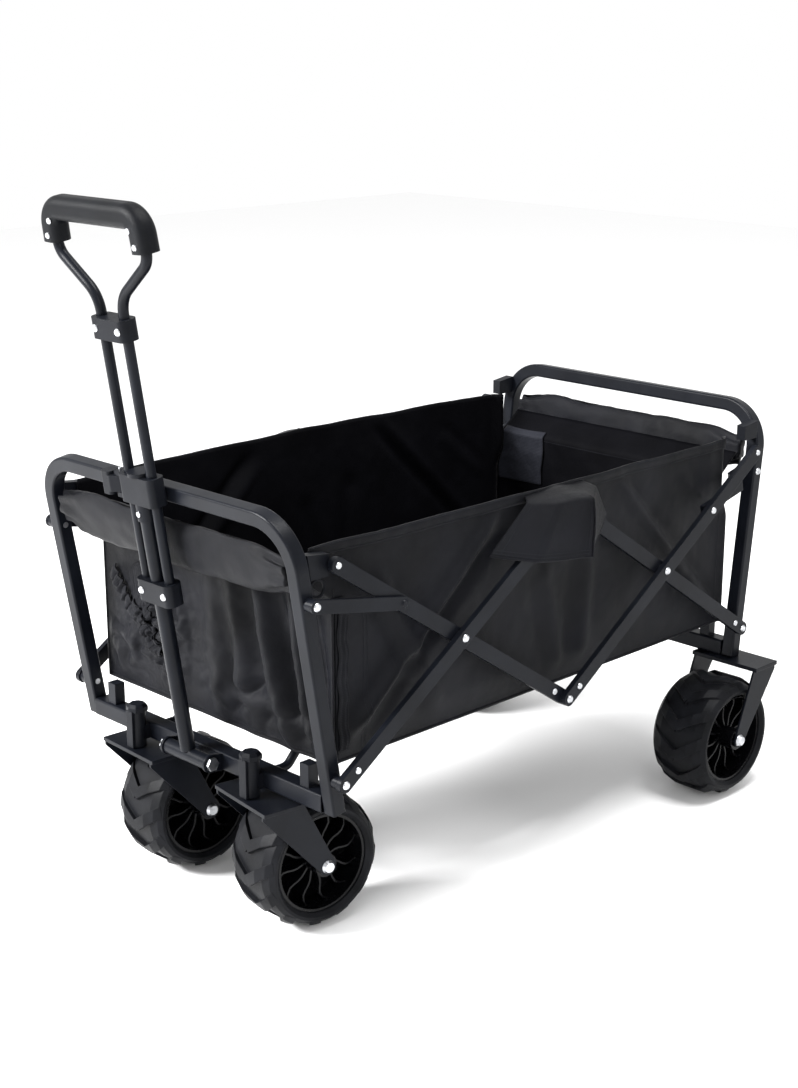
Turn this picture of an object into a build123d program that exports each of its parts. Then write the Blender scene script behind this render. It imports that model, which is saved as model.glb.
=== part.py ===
"""Folding camp wagon: two tube hoops joined by side scissors, a fabric basket, four chunky
wheels (the front pair on swivelling casters) and a swinging, telescoping pull handle.
Millimetres. -X is the handle end, -Y the near side, Z = 0 the ground."""
import os
from math import atan2, cos, degrees, hypot, pi, radians, sin

from build123d import *

os.makedirs("parts", exist_ok=True)

# ---------------- driving dimensions ----------------
XC = 45.062          # puts the bounding box centre on X = 0; every x below is measured from here

TUBE = 20.0          # hoop tube, square with rounded corners
WALL = 1.5
HOOP_Y = 240.0       # leg centre from the middle plane
HOOP_TOP = 568.0
HOOP_BEND = 58.0
RAIL = 24.0          # bottom cross rails
RAIL_Z = 208.0
F_RAIL_X, F_LEAN = -400.0, -0.170     # front leg: x at rail height and x per mm of height
R_RAIL_X, R_LEAN = 411.0, 0.115

BAR_H, BAR_T = 20.0, 8.0              # scissor bars
HALF = 245.0                          # pivot to crossing
OPEN_DEG, FOLD_DEG = 33.5, 43.5       # bar angle when open, and how far it can fold
MID_X, LOW_Z = 2.5, 243.0
IN_Y, OUT_Y = 251.5, 261.0            # inner faces of the inner and outer bar layers
PIN_R, RUN, LOOSE = 4.0, 0.06, 0.35   # rivet shank, running clearance, opened pivot clearance
LINK_AT = 122.7                       # link pivot along the bar from its crossing
LINK_ZF, LINK_ZR = 473.0, 477.0
LINK_T = 4.0

WHEEL_R, TREAD, TYRE_W, RIM_R = 90.0, 5.5, 95.0, 66.0
LUGS, SPOKES = 12, 12
AXLE_R = 5.0
ARM_IN, ARM_T = 51.5, 3.0             # fork arm inner face from the wheel's mid plane
FW_X, FW_Y = -348.0, 116.0
SWIVEL_X = -425.0
REST_TURN = {-1: -8.0, 1: -3.0}       # how far each caster stands turned
RW_X, RW_Y = 360.0, 245.0

HINGE_X, HINGE_Z = -431.0, 211.0      # pull handle pivot
LEAN = 8.8
CENTRE_R, LEG_R, LEG_Y = 10.0, 6.5, 22.0
COLLAR_Z, CLAMP_Z, YOKE_Z, GRIP_Z = 231.0, 366.0, 567.0, 704.0

CLOTH = 3.0
SIDE_Y, SIDE_TOP, FLOOR_Z = 225.5, 531.0, 251.0
FRONT_X, REAR_X = -388.0, 396.5

a0 = radians(OPEN_DEG)
reach, rise = HALF * cos(a0), HALF * sin(a0)
P_F, P_R = (MID_X - 2 * reach, LOW_Z), (MID_X + 2 * reach, LOW_Z)
X_F, X_R = (MID_X - reach, LOW_Z + rise), (MID_X + reach, LOW_Z + rise)
M_TOP, M_LOW = (MID_X, LOW_Z + 2 * rise), (MID_X, LOW_Z)
T_F, T_R = (P_F[0], M_TOP[1]), (P_R[0], M_TOP[1])
K_F = (X_F[0] - LINK_AT * cos(a0), X_F[1] + LINK_AT * sin(a0))
K_R = (X_R[0] + LINK_AT * cos(a0), X_R[1] + LINK_AT * sin(a0))
L_F = (F_RAIL_X + F_LEAN * (LINK_ZF - RAIL_Z), LINK_ZF)
L_R = (R_RAIL_X + R_LEAN * (LINK_ZR - RAIL_Z), LINK_ZR)


def save(piece, node):
    piece.part.label = node
    export_step(piece.part, f"parts/{node}.step")


def outward(s, y):
    """Plane at s * y facing away from the middle; its height runs along Z."""
    return Plane(origin=(XC, s * y, 0), x_dir=(-s, 0, 0), z_dir=(0, s, 0))


def disc(s, at, r, y0, y1, mode=Mode.ADD, taper=0):
    with BuildSketch(outward(s, y0)) as face:
        with Locations((-s * at[0], at[1])):
            Circle(r)
    extrude(face.sketch, amount=y1 - y0, mode=mode, taper=taper)


def rivet(s, at, y0, y1, head=5.4):
    disc(s, at, PIN_R, y0, y1)
    disc(s, at, head, y1, y1 + 2.2, taper=35)


def slab(s, points, y0, y1, mode=Mode.ADD):
    with BuildSketch(outward(s, y0)) as face:
        Polygon(*[(-s * x, z) for x, z in points], align=None)
    extrude(face.sketch, amount=y1 - y0, mode=mode)


# ---------------- hoops: one bent tube each ----------------
def hoop(x_rail, lean, node, pins):
    def point(y, z):
        return (XC + x_rail + lean * (z - RAIL_Z), y, z)

    foot = RAIL_Z - RAIL / 2 + 1.4
    with BuildPart() as frame:
        with BuildLine() as route:
            FilletPolyline(point(-HOOP_Y, foot), point(-HOOP_Y, HOOP_TOP), point(HOOP_Y, HOOP_TOP),
                           point(HOOP_Y, foot), radius=HOOP_BEND)
        path = route.wires()[0]
        start = Plane(origin=path @ 0, x_dir=(0, 1, 0), z_dir=path % 0)
        with BuildSketch(start) as section:
            RectangleRounded(TUBE, TUBE, 3)
        sweep(section.sketch, path=path)
        with BuildSketch(start) as bore:
            RectangleRounded(TUBE - 2 * WALL, TUBE - 2 * WALL, 1.5)
        sweep(bore.sketch, path=path, mode=Mode.SUBTRACT)
        for s in (-1, 1):
            for at in pins:
                disc(s, at, PIN_R, HOOP_Y - 12, HOOP_Y + 12, mode=Mode.SUBTRACT)
    save(frame, node)


hoop(F_RAIL_X, F_LEAN, "front_hoop", [P_F, L_F])
hoop(R_RAIL_X, R_LEAN, "rear_hoop", [P_R, L_R])


# ---------------- cross rails with posts and floor braces ----------------
def rail(x, back, node):
    """back is +1 when the basket lies towards +X of the rail."""
    with BuildPart() as beam:
        with BuildSketch(Plane(origin=(XC + x, 0, RAIL_Z), x_dir=(1, 0, 0), z_dir=(0, 1, 0))) as sec:
            RectangleRounded(RAIL, RAIL, 3)
            RectangleRounded(RAIL - 2 * WALL, RAIL - 2 * WALL, 1.5, mode=Mode.SUBTRACT)
        extrude(sec.sketch, amount=HOOP_Y - TUBE / 2 - 0.1, both=True)
        top = RAIL_Z + RAIL / 2
        for s in (-1, 1):
            with Locations((XC + x, s * 196, (top + 249.5) / 2)):
                Box(16, 16, 249.5 - top)
            face_x = x + back * RAIL / 2
            with BuildLine() as route:
                FilletPolyline((XC + face_x, s * 112, RAIL_Z), (XC + face_x + back * 26, s * 112, RAIL_Z),
                               (XC + face_x + back * 58, s * 112, 243), radius=16)
            path = route.wires()[0]
            with BuildSketch(Plane(origin=path @ 0, z_dir=path % 0)) as sec:
                Circle(6)
            sweep(sec.sketch, path=path)
    save(beam, node)


rail(F_RAIL_X, 1, "front_rail")
rail(R_RAIL_X, -1, "rear_rail")


# ---------------- scissor bars ----------------
def bar(s, pa, pb, y0, holes, node):
    tilt = degrees(atan2(pb[1] - pa[1], pb[0] - pa[0]))
    mid = ((pa[0] + pb[0]) / 2, (pa[1] + pb[1]) / 2)
    length = hypot(pb[0] - pa[0], pb[1] - pa[1])
    with BuildPart() as piece:
        for grow, d0, d1, mode in ((0.0, 0.0, BAR_T, Mode.ADD),
                                   (-1.5, 1.5, BAR_T - 1.5, Mode.SUBTRACT)):
            with BuildSketch(outward(s, y0 + d0)) as face:
                with Locations((-s * mid[0], mid[1])):
                    SlotCenterToCenter(length, BAR_H + 2 * grow, rotation=-s * tilt)
            extrude(face.sketch, amount=d1 - d0, mode=mode)
        for at, r in holes:
            disc(s, at, r, y0 - 1, y0 + BAR_T + 1, mode=Mode.SUBTRACT)
    save(piece, node)


FREE, FIRM, OPEN = PIN_R + RUN, PIN_R, PIN_R + LOOSE
for s, side in ((-1, "near"), (1, "far")):
    bar(s, P_F, M_TOP, OUT_Y, [(P_F, FREE if s < 0 else OPEN), (X_F, FIRM), (M_TOP, FREE)], f"bar_a_{side}")
    bar(s, T_F, M_LOW, IN_Y, [(X_F, FREE), (M_LOW, FIRM)], f"bar_b_{side}")
    bar(s, T_R, M_LOW, OUT_Y, [(X_R, FREE), (M_LOW, OPEN)], f"bar_c_{side}")
    bar(s, P_R, M_TOP, IN_Y, [(P_R, FREE), (X_R, FIRM), (M_TOP, FIRM)], f"bar_d_{side}")


# ---------------- rivets, each with the piece that holds it ----------------
def along(pa, pb, d):
    length = hypot(pb[0] - pa[0], pb[1] - pa[1])
    return (pa[0] + (pb[0] - pa[0]) * d / length, pa[1] + (pb[1] - pa[1]) * d / length)


OUTER, INNER = OUT_Y + BAR_T, IN_Y + BAR_T
for s, side in ((-1, "near"), (1, "far")):
    with BuildPart() as rivets_a:
        rivet(s, X_F, IN_Y, OUTER)
        disc(s, X_F, 8, INNER + 0.1, OUT_Y)
        disc(s, along(P_F, M_TOP, 24), 4.4, OUTER, OUTER + 1.6, taper=30)
    save(rivets_a, f"rivets_a_{side}")
    with BuildPart() as rivets_b:
        rivet(s, M_LOW, IN_Y, OUTER + 0.3)
        disc(s, M_LOW, 8, INNER, OUT_Y - 0.3)
        disc(s, T_F, 4.4, INNER, INNER + 1.1, taper=30)
        disc(s, along(T_F, M_LOW, 2 * HALF - 24), 4.4, INNER, INNER + 1.1, taper=30)
    save(rivets_b, f"rivets_b_{side}")
    with BuildPart() as rivets_c:
        disc(s, T_R, 4.4, OUTER, OUTER + 1.6, taper=30)
        disc(s, K_R, 5, OUTER, OUTER + 1.6, taper=30)
        disc(s, along(T_R, M_LOW, 2 * HALF - 24), 4.4, OUTER, OUTER + 1.6, taper=30)
    save(rivets_c, f"rivets_c_{side}")
    with BuildPart() as rivets_d:
        rivet(s, M_TOP, IN_Y, OUTER + 0.1)
        disc(s, M_TOP, 8, INNER, OUT_Y - 0.1)
        rivet(s, X_R, IN_Y, OUTER + 0.1)
        disc(s, X_R, 8, INNER, OUT_Y - 0.1)
        disc(s, along(P_R, M_TOP, 24), 4.4, INNER, INNER + 1.1, taper=30)
    save(rivets_d, f"rivets_d_{side}")

with BuildPart() as front_rivets:
    for s in (-1, 1):
        rivet(s, P_F, HOOP_Y - 9.9, OUTER + 0.1)
        disc(s, P_F, 8, HOOP_Y + TUBE / 2, OUT_Y - 0.1)
        rivet(s, L_F, HOOP_Y - 9.9, OUT_Y + LINK_T + 0.1)
        disc(s, L_F, 8, HOOP_Y + TUBE / 2, OUT_Y - 0.1)
        disc(s, (HINGE_X, HINGE_Z), AXLE_R, 0, 45)
        with BuildSketch(outward(s, 45)) as face:
            with Locations((-s * HINGE_X, HINGE_Z)):
                RegularPolygon(9, 6)
        extrude(face.sketch, amount=5)
save(front_rivets, "front_rivets")
with BuildPart() as rear_rivets:
    for s in (-1, 1):
        rivet(s, P_R, HOOP_Y - 9.9, INNER + 0.1)
        disc(s, P_R, 8, HOOP_Y + TUBE / 2, IN_Y - 0.1)
        disc(s, L_R, PIN_R, 221.9, HOOP_Y + TUBE / 2)
        disc(s, L_R, 8, 228.1, HOOP_Y - TUBE / 2)
        disc(s, L_R, 5.4, HOOP_Y + TUBE / 2, HOOP_Y + TUBE / 2 + 2.2, taper=35)
        disc(s, L_R, 5.4, 219.9, 221.9)
save(rear_rivets, "rear_rivets")


# ---------------- corner links between a hoop leg and a bar ----------------
for s, side in ((-1, "near"), (1, "far")):
    with BuildPart() as link_front:
        centre = ((L_F[0] + K_F[0]) / 2, (L_F[1] + K_F[1]) / 2)
        turn = degrees(atan2(K_F[1] - L_F[1], K_F[0] - L_F[0]))
        with BuildSketch(outward(s, OUT_Y)) as face:
            with Locations((-s * centre[0], centre[1])):
                SlotCenterToCenter(hypot(K_F[0] - L_F[0], K_F[1] - L_F[1]), 17, rotation=-s * turn)
        extrude(face.sketch, amount=LINK_T)
        disc(s, L_F, FREE, OUT_Y - 1, OUT_Y + LINK_T + 1, mode=Mode.SUBTRACT)
        disc(s, K_F, 5.4, OUT_Y + LINK_T, OUT_Y + LINK_T + 2, taper=35)
    save(link_front, f"link_front_{side}")

    span = hypot(K_R[0] - L_R[0], K_R[1] - L_R[1])
    ux, uz = (K_R[0] - L_R[0]) / span, (K_R[1] - L_R[1]) / span
    with BuildPart() as link_rear:
        strap = Plane(origin=(XC + L_R[0], 0, L_R[1]), x_dir=(ux, 0, uz), z_dir=(-uz, 0, ux))
        lay = 1 if strap.y_dir.Y * s > 0 else -1
        steps = [(-8, 222), (36, 222), (52, 252), (span + 8, 252),
                 (span + 8, 258), (49.5, 258), (33.5, 228), (-8, 228)]
        with BuildSketch(strap) as face:
            Polygon(*[(d, lay * y) for d, y in steps], align=None)
        extrude(face.sketch, amount=7.5, both=True)
        disc(s, L_R, FREE, 221, 229, mode=Mode.SUBTRACT)
    save(link_rear, f"link_rear_{side}")


# ---------------- plastic corner blocks, the front pair with a steel loop ----------------
def corners(x_rail, lean, towards, z0, z1, node):
    def face(z, d):
        return x_rail + lean * (z - RAIL_Z) + towards * d

    with BuildPart() as block:
        for s in (-1, 1):
            slab(s, [(face(z0, 11.2), z0), (face(z0, 40), z0), (face(z0, 40), z1 - 4), (face(z1, 11.2), z1)],
                 233, 247.5)
            if towards > 0:
                with Locations(Location((XC + face(485, 24.6), s * 240, 485), (90, 0, 0))):
                    Torus(11, 2)
    save(block, node)


corners(F_RAIL_X, F_LEAN, 1, 499, 530, "front_corner_blocks")
corners(R_RAIL_X, R_LEAN, -1, 528, 553, "rear_corner_blocks")


# ---------------- wheels ----------------
def wheel(loc, tyre_node, rim_node):
    hub = Plane(origin=(0, 0, 0), x_dir=(0, 1, 0), z_dir=(1, 0, 0))
    half = TYRE_W / 2
    with BuildPart() as tyre:
        for i in range(LUGS):
            turn = 360 / LUGS * i
            for s in (-1, 1):
                with Locations(Location((0, 0, 0), (0, turn, 0)) * Location((0, s * 23, -84), (0, 0, s * 34))):
                    Box(15, 60, 16)
        with BuildSketch(hub) as crown:
            Polygon((-half + 1.5, 60), (-half + 1.5, 77), (-38, 85), (-22, WHEEL_R), (22, WHEEL_R), (38, 85),
                    (half - 1.5, 77), (half - 1.5, 60), align=None)
        revolve(crown.sketch, axis=Axis.Y, mode=Mode.INTERSECT)
        with BuildSketch(hub) as section:
            r = WHEEL_R - TREAD
            Polygon((-half, 71), (-half, 75), (-42, 80.5), (-30, r), (30, r), (42, 80.5), (half, 75), (half, 71),
                    (half - 5, RIM_R), (-half + 5, RIM_R), align=None)
        revolve(section.sketch, axis=Axis.Y)
    with BuildPart() as rim:
        with BuildSketch(hub) as section:
            with Locations((0, RIM_R - 2.05)):
                Rectangle(82, 4)
            with Locations((0, 41)):
                Rectangle(3, 52)
            with Locations((0, 10.5)):
                Rectangle(100, 2 * (15.5 - 10.5))
        revolve(section.sketch, axis=Axis.Y)
        for i in range(SPOKES):
            ridge = []
            for k in range(8):
                r = 14 + 50 * k / 7
                ridge.append((r, radians(360 / SPOKES * i + 17 * k / 7 + 6 * sin(2 * pi * k / 7))))
            sides = [(r * cos(w + d / r), r * sin(w + d / r)) for d in (1.4, -1.4)
                     for r, w in (ridge if d > 0 else ridge[::-1])]
            with BuildSketch(Plane.XZ) as blade:
                Polygon(*sides, align=None)
            extrude(blade.sketch, amount=27, both=True)
        Cylinder(RIM_R - 1, 82, rotation=(90, 0, 0), mode=Mode.INTERSECT)
        Cylinder(15.5, 100, rotation=(90, 0, 0))
        with BuildSketch(hub) as section:
            with Locations((0, RIM_R - 2.05)):
                Rectangle(82, 4)
        revolve(section.sketch, axis=Axis.Y)
        Cylinder(AXLE_R + RUN, 110, rotation=(90, 0, 0), mode=Mode.SUBTRACT)
    for shape, node in ((tyre.part, tyre_node), (rim.part, rim_node)):
        with BuildPart() as placed:
            add(shape.moved(loc))
        save(placed, node)


def arm(s, top, at, r, y0, y1, z_top):
    """Fork arm: a plate narrowing from the fork plate to a rounded end at the axle."""
    with BuildSketch(outward(s, y0)) as face:
        with Locations((-s * at[0], at[1])):
            Circle(r)
        with Locations((-s * (top[0] + top[1]) / 2, z_top - 4)):
            Rectangle(top[1] - top[0], 8)
        make_hull()
    extrude(face.sketch, amount=y1 - y0)


# front casters, built about their swivel axis and then turned
CASTER_TOP = 187.0
trail = FW_X - SWIVEL_X
for s, side in ((-1, "near"), (1, "far")):
    stand = Location((XC + SWIVEL_X, s * FW_Y, 0), (0, 0, REST_TURN[s]))
    back = Location((-XC, 0, 0))
    with BuildPart() as fork_raw:
        for k in (-1, 1):
            arm(k, (-18, 42), (trail, WHEEL_R), 12, ARM_IN, ARM_IN + ARM_T, CASTER_TOP - 2)
        with Locations((XC + 12, 0, CASTER_TOP - 2.5)):
            Box(60, 116, 5)
        with Locations((XC, 0, (CASTER_TOP + 240) / 2)):
            Cylinder(6, 240 - CASTER_TOP)
        for k in (-1, 1):
            disc(k, (trail, WHEEL_R), AXLE_R, ARM_IN - 1, ARM_IN + ARM_T + 1, mode=Mode.SUBTRACT)
    with BuildPart() as bolt_raw:
        y_out = ARM_IN + ARM_T
        disc(1, (trail, WHEEL_R), AXLE_R, -y_out, y_out)
        for k in (-1, 1):
            disc(k, (trail, WHEEL_R), 9, y_out, y_out + 4.5, taper=30)
    for raw, node in ((fork_raw, f"caster_fork_{side}"), (bolt_raw, f"caster_axle_{side}")):
        with BuildPart() as placed:
            add(raw.part.moved(back).moved(stand))
        save(placed, node)
    wheel(stand * Location((trail, 0, WHEEL_R)), f"front_tyre_{side}", f"front_rim_{side}")

with BuildPart() as caster_housings:
    for s in (-1, 1):
        with Locations((XC + SWIVEL_X, s * FW_Y, (188.2 + 243) / 2)):
            Cylinder(11, 243 - 188.2)
        with Locations((XC + SWIVEL_X + 6.5, s * FW_Y, RAIL_Z)):
            Box(12.9, 20, 20)
        with Locations((XC + SWIVEL_X - 12.2, s * FW_Y, 214)):
            Box(3.4, 13, 51)
        with BuildSketch(Plane.XY.offset(238)) as cap:
            with Locations((XC + SWIVEL_X, s * FW_Y)):
                RegularPolygon(14.5, 8)
        extrude(cap.sketch, amount=6)
        with BuildSketch(Plane.XY.offset(244)) as cap:
            with Locations((XC + SWIVEL_X, s * FW_Y)):
                RegularPolygon(14.5, 8)
        extrude(cap.sketch, amount=4, taper=45)
        with Locations((XC + SWIVEL_X, s * FW_Y, 214.5)):
            Cylinder(6 + RUN, 53, mode=Mode.SUBTRACT)
save(caster_housings, "caster_housings")

# rear forks, fixed under the hoop legs
with BuildPart() as rear_forks:
    for s in (-1, 1):
        with Locations((XC + 414.5, s * RW_Y, 192.9)):
            Box(53, 116, 5.8)
        for y0 in (RW_Y - ARM_IN - ARM_T, RW_Y + ARM_IN):
            arm(s, (388, 441), (RW_X, WHEEL_R), 11, y0, y0 + ARM_T, 191)
        disc(s, (RW_X, WHEEL_R), AXLE_R, RW_Y - 60, RW_Y + 60, mode=Mode.SUBTRACT)
save(rear_forks, "rear_forks")
with BuildPart() as rear_axles:
    for s in (-1, 1):
        y_in, y_out = RW_Y - ARM_IN - ARM_T, RW_Y + ARM_IN + ARM_T
        disc(s, (RW_X, WHEEL_R), AXLE_R, y_in, y_out)
        disc(s, (RW_X, WHEEL_R), 9, y_out, y_out + 4.5, taper=30)
        disc(s, (RW_X, WHEEL_R), 9, y_in - 3, y_in)
save(rear_axles, "rear_axles")
for s, side in ((-1, "near"), (1, "far")):
    wheel(Location((XC + RW_X, s * RW_Y, WHEEL_R)), f"rear_tyre_{side}", f"rear_rim_{side}")

# ---------------- pull handle ----------------
tilt = Location((XC + HINGE_X, 0, HINGE_Z), (0, -LEAN, 0))


def leaned(shape, node):
    with BuildPart() as placed:
        add(shape.moved(tilt))
    save(placed, node)


with BuildPart() as handle_bracket:
    for s in (-1, 1):
        with BuildSketch(outward(s, 41)) as face:
            with Locations((-s * HINGE_X, HINGE_Z)):
                Circle(12)
            with Locations((-s * (F_RAIL_X - RAIL / 2 - 1.5), RAIL_Z)):
                Rectangle(3, 22)
            make_hull()
        extrude(face.sketch, amount=4)
        disc(s, (HINGE_X, HINGE_Z), AXLE_R, 40, 46, mode=Mode.SUBTRACT)
    with Locations((XC + F_RAIL_X - RAIL / 2 - 1.25, 0, RAIL_Z)):
        Box(2.5, 90, 20)
save(handle_bracket, "handle_bracket")

with BuildPart() as centre_tube:
    Cylinder(10, 80, rotation=(90, 0, 0))
    with Locations((0, 0, (8 + 380) / 2)):
        Cylinder(CENTRE_R, 372)
    with Locations((0, 0, (12 + 381) / 2)):
        Cylinder(CENTRE_R - 1.5, 369, mode=Mode.SUBTRACT)
    Cylinder(AXLE_R + RUN, 90, rotation=(90, 0, 0), mode=Mode.SUBTRACT)
leaned(centre_tube.part, "handle_centre_tube")

with BuildPart() as clamp:
    with BuildSketch(Plane.XY.offset(CLAMP_Z - 18)) as block:
        RectangleRounded(25, 66, 8)
    extrude(block.sketch, amount=36)
    with BuildSketch(Plane.XY.offset(CLAMP_Z + 18)) as ring:
        Circle(16)
    extrude(ring.sketch, amount=5)
    with BuildSketch(Plane.XY.offset(CLAMP_Z - 40)) as sleeve:
        Circle(12.5)
    extrude(sleeve.sketch, amount=22)
    with Locations((0, 37, CLAMP_Z - 14), (0, 37, CLAMP_Z + 14)):
        Box(14, 16, 6)
    Cylinder(CENTRE_R, 2 * 380.05, mode=Mode.SUBTRACT)
    with Locations((0, LEG_Y, CLAMP_Z), (0, -LEG_Y, CLAMP_Z)):
        Cylinder(LEG_R + 0.35, 120, mode=Mode.SUBTRACT)
    with Locations((0, 41, CLAMP_Z)):
        Cylinder(2, 60, mode=Mode.SUBTRACT)
leaned(clamp.part, "handle_clamp")

with BuildPart() as clamp_pin:
    with Locations((0, 41, CLAMP_Z - 2)):
        Cylinder(2, 44)
    with Locations((-12, 0, CLAMP_Z - 30)):
        Cylinder(3.5, 3, rotation=(0, 90, 0))
    with BuildSketch(Plane.XY.offset(0)) as core:
        Circle(12.6)
    extrude(core.sketch, amount=CLAMP_Z, mode=Mode.SUBTRACT)
leaned(clamp_pin.part, "clamp_pin")

with BuildPart() as clamp_lever:
    with BuildSketch(Plane.XY.offset(CLAMP_Z - 10.5)) as blade:
        with Locations((0, 41)):
            Circle(6.5)
        with Locations((-3, 57)):
            RectangleRounded(18, 20, 5)
        make_hull()
    extrude(blade.sketch, amount=21)
    with BuildSketch(Plane.XY.offset(CLAMP_Z - 15)) as knob:
        with Locations((-3, 60)):
            RectangleRounded(18, 18, 5)
    extrude(knob.sketch, amount=30)
    with Locations((0, 41, CLAMP_Z)):
        Cylinder(2 + RUN, 60, mode=Mode.SUBTRACT)
leaned(clamp_lever.part, "clamp_lever")

with BuildPart() as handle_loop:
    for s in (-1, 1):
        with BuildLine() as route:
            FilletPolyline((0, s * LEG_Y, COLLAR_Z - 13), (0, s * LEG_Y, 603), (0, s * 86, 652),
                           (0, s * 84, GRIP_Z), (0, 0, GRIP_Z), radius=[40, 24, 22])
        path = route.wires()[0]
        with BuildSketch(Plane(origin=path @ 0, x_dir=(1, 0, 0), z_dir=path % 0)) as sec:
            Circle(LEG_R)
        sweep(sec.sketch, path=path)
        with BuildSketch(Plane(origin=path @ 0, x_dir=(1, 0, 0), z_dir=path % 0)) as sec:
            Circle(LEG_R - 1.4)
        sweep(sec.sketch, path=path, mode=Mode.SUBTRACT)
leaned(handle_loop.part, "handle_loop")


def collar(z, height, width, clear, node):
    with BuildPart() as block:
        with BuildSketch(Plane.XY.offset(z - height / 2)) as sec:
            RectangleRounded(26, width, 9)
        extrude(sec.sketch, amount=height)
        if clear:
            Cylinder(CENTRE_R + 0.35, 1600, mode=Mode.SUBTRACT)
        with Locations((0, LEG_Y, z), (0, -LEG_Y, z)):
            Cylinder(LEG_R, height + 4, mode=Mode.SUBTRACT)
    leaned(block.part, node)


collar(COLLAR_Z, 29, 65, True, "slide_collar")
collar(YOKE_Z, 26, 64, False, "handle_yoke")

with BuildPart() as handle_rivets:
    for z in (COLLAR_Z, YOKE_Z):
        for s in (-1, 1):
            with BuildSketch(Plane(origin=(-13, s * LEG_Y, z), z_dir=(-1, 0, 0))) as head:
                Circle(5)
            extrude(head.sketch, amount=1.8, taper=35)
    for y, z in ((84, 672), (76, 690), (-84, 672), (-76, 690)):
        with BuildSketch(Plane(origin=(-14, y, z), z_dir=(-1, 0, 0))) as head:
            Circle(4)
        extrude(head.sketch, amount=1.4, taper=35)
leaned(handle_rivets.part, "handle_rivets")

with BuildPart() as grip:
    for s in (-1, 1):
        with BuildLine() as route:
            FilletPolyline((0, s * (86 - 2 * 12 / 52), 664), (0, s * 84, GRIP_Z), (0, 0, GRIP_Z), radius=22)
        path = route.wires()[0]
        for w, h, r, mode in ((28, 30, 11, Mode.ADD), (2 * LEG_R, 2 * LEG_R, LEG_R - 0.01, Mode.SUBTRACT)):
            with BuildSketch(Plane(origin=path @ 0, x_dir=(1, 0, 0), z_dir=path % 0)) as sec:
                if mode == Mode.ADD:
                    RectangleRounded(w, h, r)
                else:
                    Circle(LEG_R)
            sweep(sec.sketch, path=path, mode=mode)
leaned(grip.part, "grip")

# ---------------- fabric basket ----------------
for s, side in ((-1, "near"), (1, "far")):
    with BuildPart() as side_panel:
        slab(s, [(-383, 252), (394, 252), (394, SIDE_TOP), (-424, SIDE_TOP), (-424, 492), (-383, 452)],
             SIDE_Y, SIDE_Y + CLOTH)
    save(side_panel, f"side_panel_{side}")

with BuildPart() as floor_panel:
    with Locations((XC + 6, 0, FLOOR_Z + CLOTH / 2)):
        Box(2 * 386, 2 * 221, CLOTH)
save(floor_panel, "floor_panel")

half_w = 221.0
with BuildPart() as front_panel:
    slab(-1, [(FRONT_X, 251), (FRONT_X + CLOTH, 251), (FRONT_X + CLOTH, 470), (-434, 502),
              (-434, 496), (FRONT_X, 467)], -half_w, half_w)
save(front_panel, "front_panel")
with BuildPart() as front_band:
    slab(-1, [(-437, 470), (-447, 468), (-458, 526), (-452, 534), (-443, 528)], -220, 220)
save(front_band, "front_band")
with BuildPart() as rear_panel:
    slab(-1, [(REAR_X, 251), (REAR_X + CLOTH, 251), (REAR_X + CLOTH, 470), (431, 500),
              (436, 470), (444, 470), (452, 530), (447, 538), (438, 532), (432, 508),
              (REAR_X, 474)], -216, 216)
save(rear_panel, "rear_panel")

with BuildPart() as joint_flaps:
    for s in (-1, 1):
        slab(s, [(-141, 466), (12, 446), (20, 533), (-30, 533), (-118, 492)], 273, 275)
        slab(s, [(-30, 530.5), (20, 530.5), (20, 533), (-30, 533)], SIDE_Y + CLOTH + 0.5, 273)
save(joint_flaps, "joint_flaps")
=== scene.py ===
from functools import partial
import math

import bpy
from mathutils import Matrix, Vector, noise


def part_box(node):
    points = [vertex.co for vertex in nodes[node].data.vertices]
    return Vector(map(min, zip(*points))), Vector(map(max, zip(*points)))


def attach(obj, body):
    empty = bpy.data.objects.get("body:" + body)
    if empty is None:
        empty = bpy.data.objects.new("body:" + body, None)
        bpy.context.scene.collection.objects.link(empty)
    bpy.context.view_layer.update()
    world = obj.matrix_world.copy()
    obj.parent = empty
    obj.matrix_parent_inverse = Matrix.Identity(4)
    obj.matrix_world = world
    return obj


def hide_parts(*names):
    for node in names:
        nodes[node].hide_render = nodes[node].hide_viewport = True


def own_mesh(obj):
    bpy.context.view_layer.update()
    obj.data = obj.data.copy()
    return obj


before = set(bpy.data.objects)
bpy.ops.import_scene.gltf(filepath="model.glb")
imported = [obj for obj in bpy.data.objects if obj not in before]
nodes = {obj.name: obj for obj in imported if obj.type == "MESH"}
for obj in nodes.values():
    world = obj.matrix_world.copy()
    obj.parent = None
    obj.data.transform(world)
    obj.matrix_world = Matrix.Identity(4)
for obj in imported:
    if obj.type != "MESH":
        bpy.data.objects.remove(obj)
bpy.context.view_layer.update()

# ---------------------------------------------------------------------------
# Tube frame: two bent hoops, rails, forks, scissor bars, corner links and the
# handle's tubes. Steel, welded or riveted together and powder coated satin
# black, with the slight orange peel of a baked coat.
# ---------------------------------------------------------------------------
SIDES = {"near": -1, "far": 1}          # each side of the wagon and its sign along Y


def nothing_selected():
    if bpy.context.object and bpy.context.object.mode != "OBJECT":
        bpy.ops.object.mode_set(mode="OBJECT")
    bpy.ops.object.select_all(action="DESELECT")


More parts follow.
